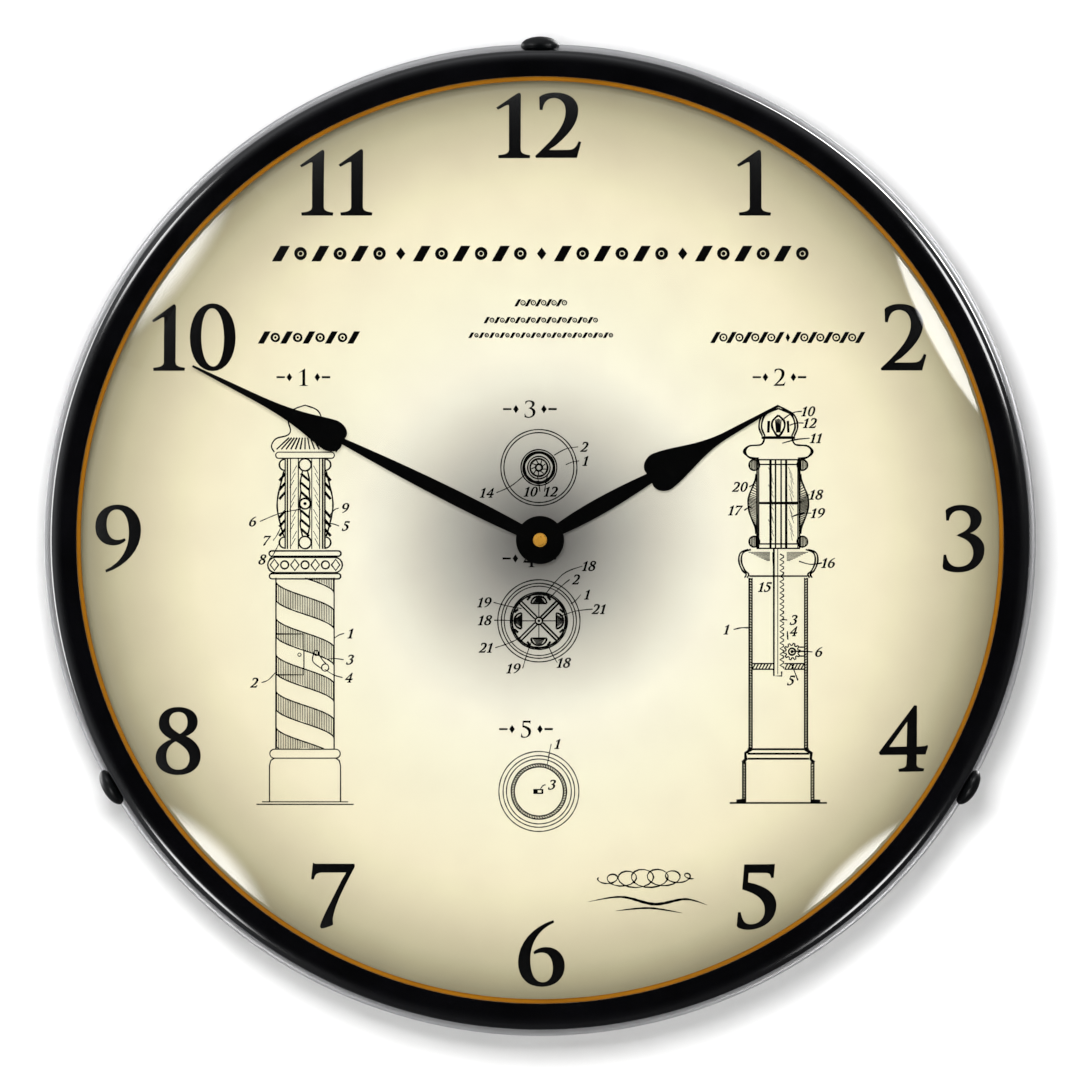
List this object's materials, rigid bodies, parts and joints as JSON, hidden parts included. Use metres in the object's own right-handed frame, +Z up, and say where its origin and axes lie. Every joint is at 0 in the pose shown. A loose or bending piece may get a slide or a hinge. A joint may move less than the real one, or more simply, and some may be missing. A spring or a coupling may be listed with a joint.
{
  "type": "lighted wall clock",
  "caption": "Round lighted wall clock with an aluminium case, black bezel, domed glass, spade hands, a backlit dial and a quartz movement.",
  "frame": {"origin": "on the wall plane, on the axis of the wall screw that the clock hangs on", "axes": "+Z up, +Y into the wall, so the dial faces -Y; +X is to the right as seen from the front"},
  "size_m": [0.3556, 0.095, 0.3581],
  "materials": {
    "satin_aluminium": "satin spun",
    "black_enamel": "gloss",
    "amber_bead": "satin",
    "clear_glass": "clear",
    "black_rubber": "matt",
    "opal_dial": "printed opal acrylic, lit from behind",
    "white_plastic": "satin",
    "zinc_steel": "zinc plated",
    "black_knob": "gloss",
    "hand_black": "satin",
    "brass_plate": "polished",
    "movement_plastic": "fine moulded grain",
    "wheel_plastic": "natural acetal",
    "black_plastic": "moulded",
    "copper_wire": "enamelled copper",
    "green_board": "solder mask",
    "white_board": "solder mask, lit LEDs",
    "battery_sleeve": "gloss sleeve",
    "switch_red": "gloss",
    "red_insulation": "satin",
    "black_insulation": "satin"
  },
  "bodies": {
    "clock": {"case_pan": "satin_aluminium", "hanger_plate": "zinc_steel", "hanger_rivet_left": "zinc_steel", "hanger_rivet_right": "zinc_steel", "wall_bumper_top_left": "black_rubber", "wall_bumper_top_right": "black_rubber", "wall_bumper_bottom": "black_rubber", "bezel": "black_enamel", "glass_bead": "amber_bead", "lens_glass": "clear_glass", "glass_gasket": "black_rubber", "dial_spacer": "white_plastic", "dial_panel": "opal_dial", "dial_ledge": "zinc_steel", "bezel_nut_12": "zinc_steel", "bezel_nut_4": "zinc_steel", "bezel_nut_8": "zinc_steel", "movement_front_shell": "movement_plastic", "movement_back_shell": "movement_plastic", "dial_washer": "black_rubber", "bushing_nut": "brass_plate", "train_bridge": "movement_plastic", "stator": "zinc_steel", "coil": "copper_wire", "coil_core": "zinc_steel", "circuit_board": "green_board", "quartz_crystal": "zinc_steel", "battery": "battery_sleeve", "battery_contact_minus": "zinc_steel", "battery_contact_plus": "zinc_steel", "led_board": "white_board", "board_support_1": "white_plastic", "board_support_2": "white_plastic", "board_support_3": "white_plastic", "power_jack": "black_knob", "jack_nut": "zinc_steel", "switch_frame": "black_plastic", "lead_jack_to_switch": "red_insulation", "lead_switch_to_board": "red_insulation", "lead_jack_to_board": "black_insulation"},
    "minute": {"minute_hand": "hand_black", "cannon_pinion": "wheel_plastic", "hand_cap_nut": "brass_plate"},
    "hour": {"hour_hand": "hand_black", "hour_wheel": "wheel_plastic"},
    "motion_wheel": {"minute_wheel": "wheel_plastic"},
    "knob": {"set_knob": "black_plastic"},
    "seconds": {"seconds_wheel": "wheel_plastic"},
    "third": {"third_wheel": "wheel_plastic"},
    "centre": {"centre_wheel": "brass_plate"},
    "step": {"step_wheel": "wheel_plastic"},
    "rotor": {"rotor": "zinc_steel"},
    "screw_12": {"bezel_screw_12": "black_knob"},
    "screw_4": {"bezel_screw_4": "black_knob"},
    "screw_8": {"bezel_screw_8": "black_knob"},
    "cover": {"rear_cover": "black_plastic"},
    "switch": {"switch_rocker": "switch_red"}
  },
  "joints": [
    {"name": "minute_turn", "type": "hinge", "parent": "clock", "child": "minute", "pos_m": [0, -0.048, -0.12], "axis": [0, 1, 0], "continuous": true},
    {"name": "hour_turn", "type": "hinge", "parent": "clock", "child": "hour", "pos_m": [0, -0.048, -0.12], "axis": [0, 1, 0], "continuous": true},
    {"name": "motion_wheel_turn", "type": "hinge", "parent": "clock", "child": "motion_wheel", "pos_m": [-0.00779, -0.048, -0.1155], "axis": [0, 1, 0], "continuous": true},
    {"name": "knob_turn", "type": "hinge", "parent": "clock", "child": "knob", "pos_m": [-0.01559, -0.048, -0.111], "axis": [0, 1, 0], "continuous": true},
    {"name": "seconds_turn", "type": "hinge", "parent": "clock", "child": "seconds", "pos_m": [0, -0.048, -0.12], "axis": [0, 1, 0], "continuous": true},
    {"name": "third_turn", "type": "hinge", "parent": "clock", "child": "third", "pos_m": [0.00935, -0.048, -0.1146], "axis": [0, 1, 0], "continuous": true},
    {"name": "centre_turn", "type": "hinge", "parent": "clock", "child": "centre", "pos_m": [0, -0.048, -0.12], "axis": [0, 1, 0], "continuous": true},
    {"name": "step_turn", "type": "hinge", "parent": "clock", "child": "step", "pos_m": [0.00217, -0.048, -0.11189], "axis": [0, 1, 0], "continuous": true},
    {"name": "rotor_turn", "type": "hinge", "parent": "clock", "child": "rotor", "pos_m": [0.00101, -0.048, -0.10527], "axis": [0, 1, 0], "continuous": true},
    {"name": "screw_12_out", "type": "slide", "parent": "clock", "child": "screw_12", "axis": [0, 0, 1], "range_m": [0, 0.0055]},
    {"name": "screw_4_out", "type": "slide", "parent": "clock", "child": "screw_4", "axis": [0.866, 0, -0.5], "range_m": [0, 0.0055]},
    {"name": "screw_8_out", "type": "slide", "parent": "clock", "child": "screw_8", "axis": [-0.866, 0, -0.5], "range_m": [0, 0.0055]},
    {"name": "cover_off", "type": "slide", "parent": "clock", "child": "cover", "axis": [0, 1, 0], "range_m": [0, 0.012]},
    {"name": "switch_rock", "type": "hinge", "parent": "clock", "child": "switch", "pos_m": [0.01698, -0.01842, -0.28158], "axis": [-0.9945, 0, -0.1045], "range_deg": [-18, 0]}
  ],
  "couplings": [
    {"joint": "hour_turn", "follows": "minute_turn", "ratio": 0.083333},
    {"joint": "motion_wheel_turn", "follows": "minute_turn", "ratio": -0.33333},
    {"joint": "knob_turn", "follows": "minute_turn", "ratio": 1},
    {"joint": "third_turn", "follows": "seconds_turn", "ratio": -0.13333},
    {"joint": "centre_turn", "follows": "seconds_turn", "ratio": 0.016667},
    {"joint": "step_turn", "follows": "seconds_turn", "ratio": -6},
    {"joint": "rotor_turn", "follows": "seconds_turn", "ratio": 30}
  ]
}
